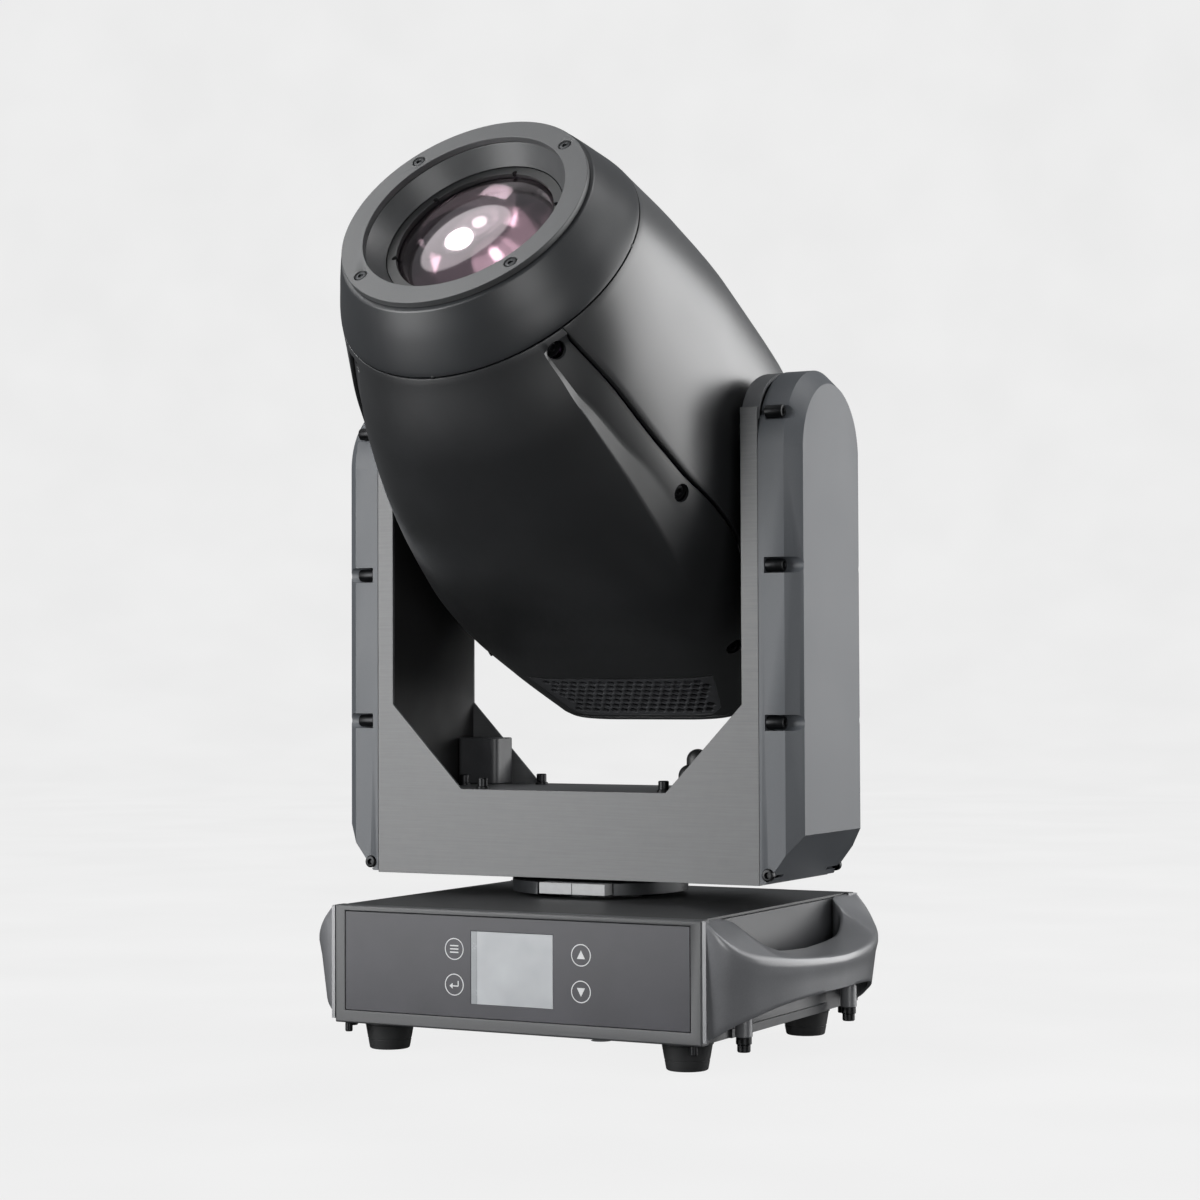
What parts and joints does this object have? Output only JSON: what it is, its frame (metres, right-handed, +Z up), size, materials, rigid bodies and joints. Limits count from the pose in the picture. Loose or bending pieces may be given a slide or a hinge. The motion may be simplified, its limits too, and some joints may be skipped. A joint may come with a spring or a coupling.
{
  "type": "moving head light",
  "caption": "Stage moving head with a tilting sealed head in a U-shaped yoke that pans on a base with side handles, a touch panel and rubber feet.",
  "frame": {"origin": "centre of the base on the plane the rubber feet stand on, under the pan axis", "axes": "+Z up along the pan axis, +X along the tilt axis to the right arm, -Y to the control panel"},
  "size_m": [0.512, 0.597, 0.8591],
  "materials": {
    "base_paint": "satin dark grey powder coat",
    "cover_paint": "satin near-black powder coat",
    "handle_casting": "die cast, satin dark grey paint",
    "black_screws": "black oxide socket screws",
    "rubber": "matt black rubber",
    "panel_glass": "glossy tinted touch panel",
    "screen": "pale grey display",
    "supply_case": "potted power supply",
    "circuit_board": "green circuit board",
    "black_plastic": "black moulded plastic",
    "shaft_metal": "machined aluminium",
    "lock_block": "machined, light grey",
    "yoke_paint": "satin grey, fine brushed sheet",
    "arm_cover_paint": "satin bluish grey moulding",
    "motor_body": "black laminated motor",
    "belt_rubber": "toothed belt",
    "chassis_metal": "bent sheet",
    "collar_plastic": "satin near-black moulding",
    "ring_paint": "satin dark grey",
    "cone_paint": "satin dark grey",
    "lens_glass": "coated optical glass",
    "shell_plastic": "satin near-black moulding",
    "grille_paint": "black perforated sheet",
    "light_engine": "light source block",
    "heat_sink_metal": "finned heat sink",
    "carrier_plastic": "black moulded carrier",
    "wheel_metal": "thin coated disc"
  },
  "bodies": {
    "base": {"base_tray": "base_paint", "front_bezel": "base_paint", "rear_panel": "base_paint", "top_cover": "cover_paint", "handle_right": "handle_casting", "handle_left": "handle_casting", "base_screws": "black_screws", "rubber_feet": "rubber", "control_glass": "panel_glass", "display_screen": "screen", "power_supply": "supply_case", "control_board": "circuit_board", "rear_connectors": "black_plastic", "pan_shaft": "shaft_metal", "pan_lock_block": "lock_block"},
    "yoke": {"yoke_front_plate": "yoke_paint", "yoke_back_plate": "yoke_paint", "arm_frame_right": "yoke_paint", "arm_frame_left": "yoke_paint", "crossbeam_floor": "yoke_paint", "crossbeam_deck": "yoke_paint", "arm_cover_right": "arm_cover_paint", "arm_cover_left": "arm_cover_paint", "yoke_screws": "black_screws", "tilt_lock_housing": "black_plastic", "vent_glands": "black_plastic", "pan_motor": "motor_body", "tilt_motor": "motor_body", "pan_belt": "belt_rubber", "tilt_belt": "belt_rubber", "shaft_bearings": "shaft_metal"},
    "pan_pinion": {"pan_motor_pulley": "shaft_metal"},
    "tilt_pinion": {"tilt_motor_pulley": "shaft_metal"},
    "head": {"head_chassis": "chassis_metal", "trunnion_left": "shaft_metal", "trunnion_right": "shaft_metal", "front_collar": "collar_plastic", "front_ring": "ring_paint", "bezel_cone": "cone_paint", "lens_retainer": "black_plastic", "front_lens": "lens_glass", "upper_shell": "shell_plastic", "lower_shell": "shell_plastic", "rear_cap": "shell_plastic", "grille_lower": "grille_paint", "grille_upper": "grille_paint", "head_screws": "black_screws", "guide_rods": "shaft_metal", "led_engine": "light_engine", "heat_sink": "heat_sink_metal", "fan_frames": "black_plastic", "wheel_motors": "motor_body"},
    "zoom_group": {"zoom_carrier": "carrier_plastic", "zoom_lens": "lens_glass"},
    "focus_group": {"focus_carrier": "carrier_plastic", "focus_lens": "lens_glass"},
    "gobo_disc": {"gobo_wheel": "wheel_metal"},
    "colour_disc": {"colour_wheel": "wheel_metal"},
    "left_fan": {"fan_rotor_left": "black_plastic"},
    "right_fan": {"fan_rotor_right": "black_plastic"}
  },
  "joints": [
    {"name": "pan", "type": "hinge", "parent": "base", "child": "yoke", "pos_m": [0, 0, 0.17], "axis": [0, 0, 1], "range_deg": [-270, 270]},
    {"name": "tilt", "type": "hinge", "parent": "yoke", "child": "head", "pos_m": [0, 0, 0.5575], "axis": [1, 0, 0], "range_deg": [-185.6, 84.4]},
    {"name": "pan_motor_spin", "type": "hinge", "parent": "yoke", "child": "pan_pinion", "pos_m": [-0.12, 0, 0.178], "axis": [0, 0, 1], "range_deg": [-1310, 1310]},
    {"name": "tilt_motor_spin", "type": "hinge", "parent": "yoke", "child": "tilt_pinion", "pos_m": [0.228, 0, 0.36], "axis": [1, 0, 0], "range_deg": [-938, 427]},
    {"name": "zoom_slide", "type": "slide", "parent": "head", "child": "zoom_group", "axis": [0, -0.7727, 0.6347], "range_m": [-0.05, 0.03]},
    {"name": "focus_slide", "type": "slide", "parent": "head", "child": "focus_group", "axis": [0, -0.7727, 0.6347], "range_m": [-0.025, 0.022]},
    {"name": "gobo_wheel_spin", "type": "hinge", "parent": "head", "child": "gobo_disc", "pos_m": [0, -0.06314, 0.54207], "axis": [0, -0.7727, 0.6347], "continuous": true},
    {"name": "colour_wheel_spin", "type": "hinge", "parent": "head", "child": "colour_disc", "pos_m": [0, 0.01523, 0.61228], "axis": [0, -0.7727, 0.6347], "continuous": true},
    {"name": "fan_left_spin", "type": "hinge", "parent": "head", "child": "left_fan", "pos_m": [-0.045, 0.08489, 0.35836], "axis": [0, 0.6347, 0.7727], "continuous": true},
    {"name": "fan_right_spin", "type": "hinge", "parent": "head", "child": "right_fan", "pos_m": [0.045, 0.08489, 0.35836], "axis": [0, 0.6347, 0.7727], "continuous": true}
  ],
  "couplings": [
    {"joint": "pan_motor_spin", "follows": "pan", "ratio": -4.85},
    {"joint": "tilt_motor_spin", "follows": "tilt", "ratio": 5.05}
  ]
}
